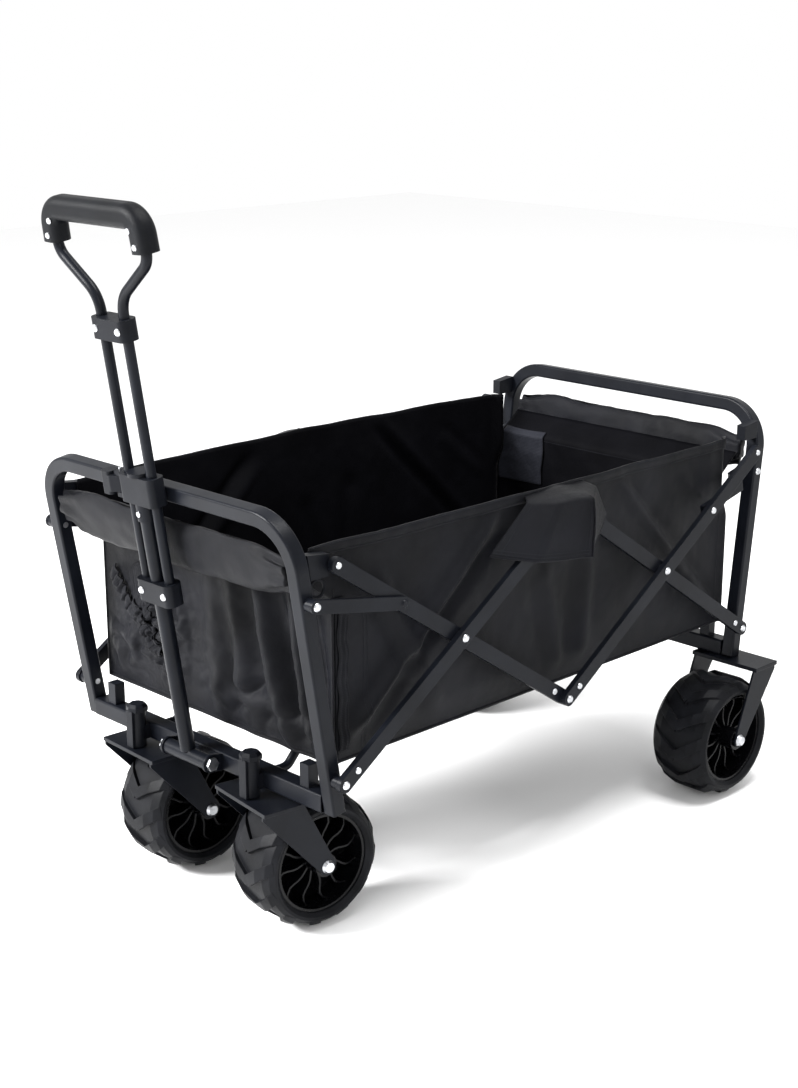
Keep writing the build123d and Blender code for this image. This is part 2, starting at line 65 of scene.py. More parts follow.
def finish(name, dark, light, rough, metal=0.0, cloud=14.0, grain=900.0, bump=0.05,
           edge=0.0, spec=0.5):
    """A paint, metal, plastic or rubber: cloudy colour, uneven gloss and a fine grain."""
    uneven = 0.08                       # how far the roughness strays either way
    mat = bpy.data.materials.new(name)
    mat.use_nodes = True
    tree = mat.node_tree
    shader = tree.nodes["Principled BSDF"]
    link = tree.links.new
    place = tree.nodes.new("ShaderNodeTexCoord").outputs["Object"]

    def speckle(scale, detail):
        tex = tree.nodes.new("ShaderNodeTexNoise")
        tex.inputs["Scale"].default_value = scale
        tex.inputs["Detail"].default_value = detail
        tex.inputs["Roughness"].default_value = 0.6
        link(place, tex.inputs["Vector"])
        return tex.outputs["Fac"]

    ramp = tree.nodes.new("ShaderNodeValToRGB")
    ramp.color_ramp.elements[0].position = 0.32
    ramp.color_ramp.elements[1].position = 0.7
    ramp.color_ramp.elements[0].color = (*dark, 1)
    ramp.color_ramp.elements[1].color = (*light, 1)
    link(speckle(cloud, 5), ramp.inputs["Fac"])
    link(ramp.outputs["Color"], shader.inputs["Base Color"])
    gloss = tree.nodes.new("ShaderNodeMapRange")
    gloss.inputs["To Min"].default_value = rough - uneven
    gloss.inputs["To Max"].default_value = rough + uneven
    link(speckle(cloud * 3, 4), gloss.inputs["Value"])
    link(gloss.outputs["Result"], shader.inputs["Roughness"])
    relief = tree.nodes.new("ShaderNodeBump")
    relief.inputs["Strength"].default_value = bump
    relief.inputs["Distance"].default_value = 0.0006
    link(speckle(grain, 2), relief.inputs["Height"])
    if edge:
        soft = tree.nodes.new("ShaderNodeBevel")
        soft.samples = 4
        soft.inputs["Radius"].default_value = edge
        link(soft.outputs["Normal"], relief.inputs["Normal"])
    link(relief.outputs["Normal"], shader.inputs["Normal"])
    shader.inputs["Metallic"].default_value = metal
    shader.inputs["Specular IOR Level"].default_value = spec
    return mat


def wear(mat, *names):
    """Give one finish to each of the named pieces."""
    for name in names:
        nodes[name].data.materials.clear()
        nodes[name].data.materials.append(mat)


powder_coat = finish("powder_coat", (0.0026, 0.0031, 0.0048), (0.0058, 0.0068, 0.0098), 0.34,
                     edge=0.0014, bump=0.10, grain=700, spec=0.10)
wear(powder_coat, "front_hoop", "rear_hoop", "front_rail", "rear_rail", "rear_forks",
     "handle_bracket", "handle_centre_tube", "handle_loop", "caster_fork_near",
     "caster_fork_far",
     *[f"bar_{letter}_{side}" for letter in "abcd" for side in SIDES],
     *[f"link_{end}_{side}" for end in ("front", "rear") for side in SIDES])

# ---------------------------------------------------------------------------
# Rivets, axle bolts and the handle's hinge bolt: zinc plated steel, with the
# fine turned grain and small dulled patches of plated hardware. The spacers
# between the front hoop and its bars are painted with the frame.
# ---------------------------------------------------------------------------
SPACER_IN, SPACER_OUT = 0.2495, 0.2612  # how far from the middle the spacers start and end

zinc = finish("zinc_plate", (0.42, 0.43, 0.45), (0.66, 0.67, 0.69), 0.34, metal=1.0,
              cloud=160, grain=2200, bump=0.12, edge=0.0006)
wear(zinc, "front_rivets", "rear_rivets", "rear_axles", "caster_axle_near",
     "caster_axle_far", "handle_rivets", "clamp_pin",
     *[f"rivets_{letter}_{side}" for letter in "abcd" for side in SIDES])
spaced = nodes["front_rivets"]
spaced.data.materials.append(powder_coat)
for face in spaced.data.polygons:
    if SPACER_IN < abs((spaced.matrix_world @ face.center).y) < SPACER_OUT:
        face.material_index = 1

# ---------------------------------------------------------------------------
# Plastic fittings: corner blocks, caster housings, slide collar, yoke, clamp
# and its lever. Injection moulded nylon, matte with a spark-eroded grain, each
# pushed or riveted on to its tube.
# ---------------------------------------------------------------------------
nylon = finish("moulded_nylon", (0.0026, 0.0030, 0.0044), (0.0056, 0.0064, 0.0090), 0.44,
               edge=0.0012, bump=0.25, grain=1500, spec=0.09)
wear(nylon, "front_corner_blocks", "rear_corner_blocks", "caster_housings", "slide_collar",
     "handle_yoke", "handle_clamp", "clamp_lever")

# ---------------------------------------------------------------------------
# Wheels: solid lugged tyres pressed over moulded rims with swirled spokes. The
# tyre is dull rubber, the rim a harder and glossier plastic.
# ---------------------------------------------------------------------------
rubber = finish("tyre_rubber", (0.0018, 0.0020, 0.0027), (0.0060, 0.0064, 0.0082), 0.50,
                cloud=30, bump=0.35, grain=600, edge=0.0018, spec=0.09)
rim_plastic = finish("rim_plastic", (0.0008, 0.0008, 0.0011), (0.0022, 0.0023, 0.0030), 0.28,
                     edge=0.0012, bump=0.12, spec=0.14)
for end in ("front", "rear"):
    for side in SIDES:
        wear(rubber, f"{end}_tyre_{side}")
        wear(rim_plastic, f"{end}_rim_{side}")

# ---------------------------------------------------------------------------
# Grip: two moulded halves screwed together over the handle's loop, in dense
# rubber with a coarse, even texture.
# ---------------------------------------------------------------------------
grip_rubber = finish("grip_rubber", (0.0018, 0.0021, 0.0029), (0.0040, 0.0045, 0.0060), 0.42,
                     bump=0.6, grain=1100, edge=0.0025, spec=0.09)
wear(grip_rubber, "grip")

# ---------------------------------------------------------------------------
# Side panels: coated polyester in a plain oxford weave, stretched between the
# hoops. The top edge is turned over twice and sewn, so the hem stands a little
# proud. The cloth is carried with the rear frame.
# ---------------------------------------------------------------------------
MID_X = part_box("front_rail")[0][0] + 0.412      # the scissor frame's own zero along X
BASKET_TOP, BASKET_FOOT = 0.531, 0.251
WALL_Y, WALL_BACK, WALL_LIFT = 0.2272, 0.3990, 0.0015
WALL_CREASES = [                                # from x, z to x, z, then width and depth
    (-0.385, 0.262, -0.105, 0.525, 0.010, 0.0105),
    (0.385, 0.262, 0.115, 0.525, 0.008, 0.0060),
    (-0.33, 0.50, -0.20, 0.27, 0.010, 0.005),
    (-0.02, 0.44, 0.02, 0.262, 0.012, 0.004),
    (0.075, 0.46, 0.062, 0.262, 0.014, 0.005),
    (0.27, 0.50, 0.385, 0.41, 0.008, 0.003)]
WAVE_PERIOD = 0.314                             # a wave texture's repeat at scale 1


def oxford(name, dark, light, pitch=0.0011, relief=0.5, rough=0.58, sheen=0.02, spec=0.08):
    """Woven cloth: crossed threads along the piece's own UV, faded in clouds."""
    mat = bpy.data.materials.new(name)
    mat.use_nodes = True
    tree = mat.node_tree
    link = tree.links.new
    shader = tree.nodes["Principled BSDF"]
    coords = tree.nodes.new("ShaderNodeTexCoord")
    threads = []
    for axis in ("X", "Y"):
        wave = tree.nodes.new("ShaderNodeTexWave")
        wave.bands_direction = axis
        wave.inputs["Scale"].default_value = WAVE_PERIOD / pitch
        wave.inputs["Distortion"].default_value = 0.6
        wave.inputs["Detail Scale"].default_value = 2.0
        link(coords.outputs["UV"], wave.inputs["Vector"])
        threads.append(wave.outputs["Fac"])
    weave = tree.nodes.new("ShaderNodeMath")
    weave.operation = "MULTIPLY"
    link(threads[0], weave.inputs[0])
    link(threads[1], weave.inputs[1])
    cloud = tree.nodes.new("ShaderNodeTexNoise")
    cloud.inputs["Scale"].default_value = 9.0
    cloud.inputs["Detail"].default_value = 8.0
    link(coords.outputs["Object"], cloud.inputs["Vector"])
    mixed = tree.nodes.new("ShaderNodeMath")
    mixed.operation = "MULTIPLY_ADD"
    mixed.inputs[1].default_value = 0.45
    link(weave.outputs[0], mixed.inputs[0])
    link(cloud.outputs["Fac"], mixed.inputs[2])
    ramp = tree.nodes.new("ShaderNodeValToRGB")
    ramp.color_ramp.elements[0].position = 0.38
    ramp.color_ramp.elements[1].position = 0.95
    ramp.color_ramp.elements[0].color = (*dark, 1)
    ramp.color_ramp.elements[1].color = (*light, 1)
    link(mixed.outputs[0], ramp.inputs["Fac"])
    link(ramp.outputs["Color"], shader.inputs["Base Color"])
    slack = tree.nodes.new("ShaderNodeTexNoise")
    slack.inputs["Scale"].default_value = 34.0
    slack.inputs["Detail"].default_value = 3.0
    link(coords.outputs["Object"], slack.inputs["Vector"])
    wide = tree.nodes.new("ShaderNodeBump")
    wide.inputs["Strength"].default_value = 0.25
    wide.inputs["Distance"].default_value = 0.004
    link(slack.outputs["Fac"], wide.inputs["Height"])
    fine = tree.nodes.new("ShaderNodeBump")
    fine.inputs["Strength"].default_value = relief
    fine.inputs["Distance"].default_value = 0.0004
    link(weave.outputs[0], fine.inputs["Height"])
    link(wide.outputs["Normal"], fine.inputs["Normal"])
    link(fine.outputs["Normal"], shader.inputs["Normal"])
    shader.inputs["Roughness"].default_value = rough
    shader.inputs["Sheen Weight"].default_value = sheen
    shader.inputs["Sheen Roughness"].default_value = 0.45
    shader.inputs["Specular IOR Level"].default_value = spec
    return mat


polyester = oxford("oxford_polyester", (0.0008, 0.0009, 0.0015), (0.0056, 0.0060, 0.0088),
                   rough=0.42, spec=0.085)
# The inside faces: the same weave painted darker and duller, as painted shade inside the basket.
inside_shade_cloth = oxford("inside_painted_shade", (0.0008, 0.0008, 0.0012), (0.0034, 0.0034, 0.0046),
                sheen=0.0, spec=0.03)


def smoothed(t):
    """From 0 to 1 with a soft start and end."""
    t = min(1.0, max(0.0, t))
    return t * t * (3 - 2 * t)


def ruffle(x, y, z, size, depth):
    """Small unrepeated unevenness of a hanging cloth."""
    return depth * noise.fractal(Vector((x / size, y / size, z / size)), 0.9, 2.1, 3)


def lengths(points):
    return sum((b - a).length for a, b in zip(points, points[1:]))


def cloth(name, across, down, place, mat=polyester, back=None, thick=0.0012,
          held="stretched", rests_on=()):
    """A cut sheet: a grid bent to place(u, v), given its thickness, its weave along it."""
    nothing_selected()
    bpy.ops.mesh.primitive_grid_add(x_subdivisions=across, y_subdivisions=down, size=2)
    piece = bpy.context.object
    piece.name = name
    mesh = piece.data
    at = [((v.co.x + 1) / 2, (v.co.y + 1) / 2) for v in mesh.vertices]
    spots = [Vector(place(u, v)) for u, v in at]
    for vert, spot in zip(mesh.vertices, spots):
        vert.co = spot
    grid = {(round(u * across), round(v * down)): spot for (u, v), spot in zip(at, spots)}
    rows = [lengths([grid[(i, j)] for i in range(across + 1)]) for j in range(down + 1)]
    columns = [lengths([grid[(i, j)] for j in range(down + 1)]) for i in range(across + 1)]
    wide, long = max(rows), max(columns)
    for corner in mesh.uv_layers.active.data:
        corner.uv = (corner.uv[0] * wide, corner.uv[1] * long)
    mesh.update()
    bpy.ops.object.shade_smooth()
    mesh.materials.append(mat)
    mesh.materials.append(back or mat)
    solid = piece.modifiers.new("thickness", "SOLIDIFY")
    solid.thickness, solid.offset, solid.material_offset = thick, 0, 1
    bpy.ops.object.modifier_apply(modifier=solid.name)
    return piece


def gathers(piece):
    """The piece rides with the rear frame, on a mesh of its own."""
    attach(piece, "rear_frame")
    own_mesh(piece)


def crease(x, z, x0, z0, x1, z1, width, depth):
    """A pressed fold line from one point to another: a ridge with a shallow valley beside it."""
    run = Vector((x1 - x0, z1 - z0))
    off = ((x - x0) * run.y - (z - z0) * run.x) / run.length
    part = ((x - x0) * run.x + (z - z0) * run.y) / run.length_squared
    fade = smoothed(part * 6) * smoothed((1 - part) * 6)
    valley = 0.6 * math.exp(-((off - 2.4 * width) / width) ** 2)
    return depth * fade * (math.exp(-(off / width) ** 2) - valley)


def wall_depth(x, z, s):
    """How far the side cloth stands out at a place, measured from the scissor zero."""
    ends = smoothed((x + 0.386) / 0.05) * smoothed((0.392 - x) / 0.05)
    high = (z - BASKET_FOOT) / (BASKET_TOP - BASKET_FOOT)
    middle = math.sin(math.pi * min(1, max(0, (x + 0.39) / 0.78))) ** 0.7
    belly = 0.011 * middle * (0.55 + 0.45 * high)
    folds = sum(crease(x, z, *line) for line in WALL_CREASES)
    loose = ruffle(x, s * 0.3, z, 0.055, 0.0012) + ruffle(x, s * 0.7, z * 0.5, 0.022, 0.0006)
    return max(-0.0015, min(0.0225, ends * (belly + folds + loose))) * smoothed(high / 0.16)


def wall_front(z):
    """The cloth's front edge: inside the hoop's leg low down, out past it at the band."""
    return -0.3835 - 0.0405 * smoothed((z - 0.452) / 0.040)


def drawn_in(z):
    """How far the cloth's rear corners are drawn in, to pass inside the rear links."""
    return 0.0103 * smoothed((z - BASKET_FOOT - 0.16) / 0.04)


def wall_spot(s, u, v):
    """A place on the side cloth: u from front to rear, v from foot to top."""
    z = BASKET_FOOT + WALL_LIFT + (BASKET_TOP - BASKET_FOOT - WALL_LIFT) * v
    x = wall_front(z) + (WALL_BACK - wall_front(z)) * u
    lift = 0.003 * math.sin(u * math.pi) * v + 0.002 * noise.noise(Vector((u * 9, s, 3))) * v
    y = WALL_Y + wall_depth(x, z, s) - drawn_in(z) * smoothed((x - 0.384) / 0.013)
    return (MID_X + x, s * y, z + lift)


def hem_spot(s, u, v):
    """The doubled edge lies over the top of the side cloth, rounded by its turns."""
    x, y, z = wall_spot(s, u, 1.0 - 0.048 * v)
    puff = 0.0020 + 0.0009 * math.sin(math.pi * v)
    puff += 0.0004 * noise.noise(Vector((u * 40, s, v)))
    return (x, y + s * puff, z + 0.0008 * (1 - v))


for side, s in SIDES.items():
    # The face turned to the inside of the basket gets the darker inside cloth, as painted shade.
    skins = (polyester, inside_shade_cloth) if side == "near" else (inside_shade_cloth, polyester)
    panel = cloth(f"side_cloth_{side}", 160, 56, partial(wall_spot, s), *skins,
                  rests_on=["front_hoop", "rear_hoop"])
    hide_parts(f"side_panel_{side}")
    gathers(panel)
    gathers(cloth(f"side_hem_{side}", 120, 4, partial(hem_spot, s), thick=0.0016,
                  rests_on=[f"side_cloth_{side}"]))

# ---------------------------------------------------------------------------
# Floor: the same coated cloth laid double over the cross rails, its coated face
# up and given the darker inside cloth as painted shade. It sags slightly in the
# middle and is sewn to the panels all round.
# ---------------------------------------------------------------------------
FLOOR_FRONT, FLOOR_LONG, FLOOR_HALF, FLOOR_Z = -0.3868, 0.7838, 0.2268, 0.2535


def floor_spot(u, v):
    x, y = FLOOR_FRONT + FLOOR_LONG * u, FLOOR_HALF * (2 * v - 1)
    dip = 0.0012 * math.sin(math.pi * u) * math.sin(math.pi * v)
    return (MID_X + x, y, FLOOR_Z - dip + ruffle(x, y, 0, 0.05, 0.0005))


floor_cloth = cloth("floor_cloth", 80, 46, floor_spot, mat=inside_shade_cloth, thick=0.0022,
                    rests_on=["front_rail", "rear_rail"])
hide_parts("floor_panel")
gathers(floor_cloth)

# ---------------------------------------------------------------------------
# Front panel: a slack piece of the polyester sewn below the rolled band. It
# hangs in slanting pleats on the near side and is crumpled on the far side,
# and its top leans out to meet the band.
# ---------------------------------------------------------------------------
FRONT_HALF, FRONT_X = 0.2264, -0.388
PANEL_FOOT, PANEL_TALL = 0.2515, 0.27
PANEL_UPRIGHT, PANEL_LEANING, SHOULDER = 0.222, 0.048, 0.4735
SLACK_TALL = 0.22                       # the height over which an end panel hangs slack
PLEATS = [                              # y at the foot and at the top, width and depth
    (-0.208, -0.158, 0.014, 0.019), (-0.160, -0.090, 0.016, 0.021),
    (-0.085, -0.035, 0.018, 0.014), (-0.020, 0.004, 0.020, 0.008),
    (0.070, 0.085, 0.024, 0.008)]


def pleat(y, high, y0, y1, width, depth):
    """One slanting pleat from y0 at the foot to y1 at the top, steeper on its lower side."""
    off = (y - (y0 + (y1 - y0) * high)) / width
    return depth * (math.exp(-off * off) - 0.5 * math.exp(-((off + 1.9) / 0.9) ** 2))


def front_depth(y, z):
    """How far the slack panel stands out: deep pleats, and a crumpled patch low down."""
    high = (z - BASKET_FOOT) / SLACK_TALL
    slack = math.sin(math.pi * min(1, max(0.0, high))) ** 0.5
    deep = sum(pleat(y, high, *line) for line in PLEATS)
    low = math.exp(-((high - 0.20) / 0.17) ** 2)
    near_patch = abs(noise.noise(Vector((y * 26, z * 30, 3.3)))) * smoothed((0.06 - y) / 0.1)
    far_patch = abs(noise.noise(Vector((y * 34, z * 36, 9.1)))) * smoothed((y - 0.10) / 0.06)
    knot = math.exp(-(((y - 0.105) / 0.050) ** 2 + ((high - 0.45) / 0.26) ** 2))
    crumple = 0.028 * low * near_patch + 0.022 * low * far_patch
    crumple += 0.024 * knot * abs(noise.fractal(Vector((y * 46, z * 52, 6.0)), 0.8, 2.0, 2))
    loose = ruffle(y, z, 1.7, 0.045, 0.0018 * slack) + ruffle(y, z, 4.1, 0.018, 0.0009 * slack)
    return slack * (deep + crumple) + loose


def leaning(v, upright_x, out, up):
    """An end panel's x and z: upright from its foot, then leaning out to its roll."""
    rise = v * PANEL_TALL
    if rise <= PANEL_UPRIGHT:
        return upright_x, PANEL_FOOT + rise
    over = (rise - PANEL_UPRIGHT) / PANEL_LEANING
    return upright_x + out * over, SHOULDER + up * over


def front_spot(u, v):
    """A place on the front panel: u from the far side to the near, v from foot to top."""
    y = FRONT_HALF * (1 - 2 * u)
    x, z = leaning(v, FRONT_X, -0.044, 0.026)
    edge = smoothed((FRONT_HALF - abs(y)) / 0.02)
    return (MID_X + x - edge * front_depth(y, z) + 0.001, y, z)


# Its back faces the inside of the basket and gets the darker inside cloth, as painted shade.
front_cloth = cloth("front_cloth", 150, 90, front_spot, back=inside_shade_cloth, held="hung",
                    rests_on=["front_hoop"])
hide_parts("front_panel")
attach(front_cloth, "front_frame")

# ---------------------------------------------------------------------------
# Carry strap: ribbed tape, bunched into small waves where it is tucked behind
# the handle, and sewn to the front panel with a round-ended patch.
# ---------------------------------------------------------------------------
webbing = oxford("ribbed_tape", (0.0020, 0.0021, 0.0030), (0.0100, 0.0105, 0.0135),
                 pitch=0.0022, relief=0.9)


def on_front(y, z, off):
    """The place at y, z that stands off the front panel by the given distance."""
    x, y, z = front_spot((1 - y / FRONT_HALF) / 2, (z - PANEL_FOOT) / PANEL_TALL)
    return (x - off, y, z)


def tab_spot(u, v):
    """The patch narrows to a round end at its top and foot."""
    half = 0.026 * (1 - 0.97 * abs(2 * v - 1) ** 5) ** 0.5
    off = 0.0022 + 0.0007 * math.cos(70 * u) + 0.0010 * math.sin(9 * v)
    return on_front(0.140 + half * (1 - 2 * u), 0.428 - 0.078 * v, off)


def strap_spot(start, end, wide, waves):
    """A strap running over the panel from start to end, bunched into small waves."""
    run = Vector((end[0] - start[0], end[1] - start[1]))
    aside = Vector((-run.y, run.x)).normalized() * wide

    def spot(u, v):
        wave = abs(math.sin(math.pi * waves * u + 0.5 * math.sin(5 * v)))
        off = 0.0030 + 0.0055 * wave * math.sin(math.pi * min(1, 0.12 + 0.76 * u))
        y = start[0] + run.x * u + aside.x * (v - 0.5)
        z = start[1] + run.y * u + aside.y * (v - 0.5)
        return on_front(y + 0.0012 * math.sin(31 * u), z + 0.0012 * math.cos(27 * u), off)
    return spot


straps = [("strap_tab", 36, 30, tab_spot),
          ("strap_run", 90, 10, strap_spot((0.162, 0.366), (0.098, 0.318), 0.024, 7)),
          ("strap_tail", 80, 10, strap_spot((0.205, 0.408), (0.158, 0.356), 0.020, 6)),
          ("strap_end", 60, 8, strap_spot((0.118, 0.344), (0.082, 0.292), 0.018, 4))]
for name, across, down, spot in straps:
    strap = cloth(name, across, down, spot, mat=webbing, thick=0.0014, held="hung",
                  rests_on=["front_cloth"])
    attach(strap, "front_frame")

# ---------------------------------------------------------------------------
# Front band: the polyester rolled over a thin pad into a flattened tube. It
# runs between the hoop's legs, leans out over the panel and is gathered and
# sewn flat at both ends.
# ---------------------------------------------------------------------------


def rolled_band(name, half, centre, lean, tall, deep, pucker):
    """A flattened tube of cloth across the wagon, drawn in at both ends."""
    around, across = 40, 170
    nothing_selected()
    bpy.ops.mesh.primitive_grid_add(x_subdivisions=across, y_subdivisions=around, size=2)
    piece = bpy.context.object
    piece.name = name
    for vert in piece.data.vertices:
        u, turn = (vert.co.x + 1) / 2, (vert.co.y + 1) * math.pi
        y = half * (2 * u - 1)
        drawn = smoothed((half - abs(y)) / 0.060)
        fold = 1 + pucker * (1 - drawn) * math.cos(6 * turn + 5 * u)
        fold += 0.10 * noise.noise(Vector((y * 18, turn, 2)))
        fold += 0.16 * (1.2 - drawn) * noise.noise(Vector((y * 60, 2 * turn, 7)))
        h = tall * (0.58 + 0.42 * drawn) * fold * math.cos(turn)
        d = deep * (1.05 - 0.05 * drawn) * fold * math.sin(turn)
        d += 0.0016 * noise.noise(Vector((y * 30, h * 60, 5))) * math.sin(turn)
        droop = -0.004 * math.cos(y / half * math.pi / 2)
        vert.co = (centre[0] + lean * h + d, y, centre[1] + h + droop)
    bpy.ops.object.mode_set(mode="EDIT")
    bpy.ops.mesh.select_all(action="SELECT")
    bpy.ops.mesh.remove_doubles(threshold=0.00005)
    bpy.ops.mesh.select_all(action="DESELECT")
    bpy.ops.mesh.select_non_manifold()
    bpy.ops.mesh.fill_holes(sides=0)
    bpy.ops.mesh.select_all(action="SELECT")
    bpy.ops.mesh.normals_make_consistent(inside=False)
    bpy.ops.object.mode_set(mode="OBJECT")
    for corner in piece.data.uv_layers.active.data:
        corner.uv = (corner.uv[0] * 2 * half, corner.uv[1] * 4.4 * tall)
    bpy.ops.object.shade_smooth()
    piece.data.materials.append(polyester)
    return piece


band = rolled_band("front_rolled_band", 0.222, (MID_X - 0.4485, 0.5025), -0.17, 0.031,
                   0.0095, 0.22)
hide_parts("front_band")
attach(band, "front_frame")

# ---------------------------------------------------------------------------
# Rear panel: a flat piece of the polyester with a slightly bellied outside. It
# reaches the side cloth low down and narrows above, to pass between the rear
# links, and its top leans out to meet the sleeve.
# ---------------------------------------------------------------------------
REAR_HALF, REAR_X = 0.2262, 0.3982


def rear_spot(u, v):
    """A place on the rear panel: u from the near side to the far, v from foot to top."""
    half = REAR_HALF - drawn_in(BASKET_FOOT + v * PANEL_TALL)
    y = half * (2 * u - 1)
    x, z = leaning(v, REAR_X, 0.036, 0.028)
    edge = smoothed((half - abs(y)) / 0.03)
    high = (z - BASKET_FOOT) / SLACK_TALL
    rounded = math.sin(math.pi * min(1, high))
    belly = 0.004 * rounded + 0.003 * math.cos(y * 34 + 3 * high) * rounded
    return (MID_X + x + edge * (belly + ruffle(y, z, 8.3, 0.04, 0.0015)), y, z)


# Its back faces the inside of the basket and gets the darker inside cloth, as painted shade.
rear_cloth = cloth("rear_cloth", 70, 44, rear_spot, back=inside_shade_cloth, held="hung",
                   rests_on=["rear_hoop"])
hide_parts("rear_panel")
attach(rear_cloth, "rear_frame")

# ---------------------------------------------------------------------------
# Inside pocket: a small piece of open net bound on to the inside of the rear
# panel at the far corner, slack along its mouth.
# ---------------------------------------------------------------------------
POCKET_Y, POCKET_WIDE, POCKET_Z, POCKET_TALL = 0.128, 0.083, 0.394, 0.092
PANEL_HALF_THERE = 0.2155               # the rear panel's half width at the pocket

net = oxford("pocket_net", (0.0050, 0.0055, 0.0080), (0.0170, 0.0180, 0.0240),
             pitch=0.0024, relief=0.9)


def pocket_spot(u, v):
    y, z = POCKET_Y + POCKET_WIDE * u, POCKET_Z + POCKET_TALL * v
    x, y, z = rear_spot((y / PANEL_HALF_THERE + 1) / 2, (z - PANEL_FOOT) / PANEL_TALL)
    off = 0.0030 + 0.0075 * v * v * math.sin(math.pi * u)
    return (x - off - 0.0010 * noise.noise(Vector((y * 60, z * 60, 4))), y, z)


pocket = cloth("inside_pocket", 40, 40, pocket_spot, mat=net, thick=0.0010,
               held="stretched", rests_on=["rear_cloth"])
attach(pocket, "rear_frame")

# ---------------------------------------------------------------------------
# Rear sleeve: the same rolled tube as the front band, sewn along the top of the
# rear panel between the rear hoop's legs.
# ---------------------------------------------------------------------------
sleeve = rolled_band("rear_rolled_sleeve", 0.2165, (MID_X + 0.4445, 0.503), 0.115, 0.031,
                     0.0090, 0.18)
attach(sleeve, "rear_frame")

# ---------------------------------------------------------------------------
# Joint flaps: a folded piece of the same cloth sewn over each side's upper
# middle joint, like a small tent, so that fingers stay out of the bars.
# ---------------------------------------------------------------------------
FLAP_ROOT = 0.2385                      # how far from the middle the flap leaves the hem
FLAP_RIDGE = 0.70                       # how far along the flap its corner ridge runs
FLAP_LOW = [                            # the lower edge: share of the length, x, z and y
    (0.0, -0.141, 0.468, 0.2510), (0.28, -0.083, 0.4575, 0.2815),
    (FLAP_RIDGE, 0.008, 0.446, 0.2920), (1.0, 0.074, 0.484, 0.2635)]


def on_line(stops, u):
    """The place a share u along a line of stops, each a share and its coordinates."""
    for a, b in zip(stops, stops[1:]):
        if u <= b[0]:
            t = (u - a[0]) / (b[0] - a[0])
            return [p + (q - p) * t for p, q in zip(a[1:], b[1:])]
    return list(stops[-1][1:])


def flap_spot(s, u, v):
    """A place on the flap: u from front to rear, v from its sewn top to its free edge."""
    top_x = -0.062 + 0.112 * u
    top_z = 0.5315 + 0.003 * math.exp(-((u - 0.5) / 0.2) ** 2)
    low_x, low_z, low_y = on_line(FLAP_LOW, u)
    bowed = math.sin(math.pi * min(1, u / FLAP_RIDGE))
    ridge = 0.0045 * math.exp(-((u - FLAP_RIDGE) / 0.035) ** 2) * smoothed(v * 2)
    dent = 0.0028 * bowed * math.sin(math.pi * v) * (0.5 if 0.3 < u < 0.9 else 1)
    out = smoothed(v / 0.13) * (0.93 + 0.07 * v)
    x = top_x + (low_x - top_x) * v
    y = FLAP_ROOT + (low_y - FLAP_ROOT) * out + ridge - dent
    z = top_z + (low_z - top_z) * v - 0.003 * bowed * v
    return (MID_X + x, s * (y + ruffle(x, z, s, 0.03, 0.0008 * v)), z)


for side, s in SIDES.items():
    flap = cloth(f"joint_flap_{side}", 44, 26, partial(flap_spot, s), held="draped",
                 rests_on=[f"side_cloth_{side}"])
    if side == "near":
        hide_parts("joint_flaps")
    gathers(flap)

# ---------------------------------------------------------------------------
# Corner tapes: a ribbed binding sewn up each front corner of the side cloth,
# a little longer than the seam, so that it waves in and out.
# ---------------------------------------------------------------------------


def tape_spot(s, u, v):
    x, y, z = wall_spot(s, 0.003 + 0.019 * u, 0.05 + 0.70 * v)
    rib = 0.0006 * math.cos(44 * u) + 0.0016 * math.sin(math.pi * 7 * v) ** 2 * u
    return (x + 0.0015 * math.sin(23 * v), y + s * (0.0024 + rib), z)


for side, s in SIDES.items():
    gathers(cloth(f"corner_tape_{side}", 16, 80, partial(tape_spot, s), mat=webbing,
                  rests_on=[f"side_cloth_{side}"]))

# ---------------------------------------------------------------------------
# Stitching and piping: bonded black thread in short lock stitches along the
# hems and seams, and round cords covered in the polyester, sewn round the
# bottom of the basket, up its front corners and round each joint flap.
# ---------------------------------------------------------------------------
STITCH_PITCH, STITCH_LONG, STITCH_THICK = 0.0042, 0.0029, 0.0007
STITCH_RINGS = ((-1, 0.35), (-0.3, 1), (0.3, 1), (1, 0.35))     # place along it, and girth

thread = finish("bonded_thread", (0.006, 0.006, 0.008), (0.016, 0.017, 0.021), 0.5,
                grain=3000, bump=0.3, spec=0.1)


def along(spot, start, end, count):
    """Points on a panel, in even steps from one (u, v) to another."""
    steps = [i / count for i in range(count + 1)]
    return [Vector(spot(*[a + (b - a) * t for a, b in zip(start, end)])) for t in steps]


def pushed(points, by):
    """The same points, lifted off the cloth."""
    return [p + Vector(by) for p in points]


def stitch(verts, faces, mid, ahead, out):
    """One four-sided stitch with narrowed ends, lying on the cloth."""
    flat = ahead.cross(out).normalized()
    base = len(verts)
    for end, girth in STITCH_RINGS:
        for i in range(4):
            turn = math.pi / 2 * i + math.pi / 4
            spoke = flat * math.cos(turn) + out * math.sin(turn)
            reach = ahead * end * STITCH_LONG / 2
            verts.append(mid + reach + spoke * STITCH_THICK * 0.7 * girth)
    for ring in range(3):
        for i in range(4):
            j, k = (i + 1) % 4, base + 4 * ring
            faces.append((k + i, k + j, k + 4 + j, k + 4 + i))
    faces.append((base + 3, base + 2, base + 1, base))
    faces.append((base + 12, base + 13, base + 14, base + 15))


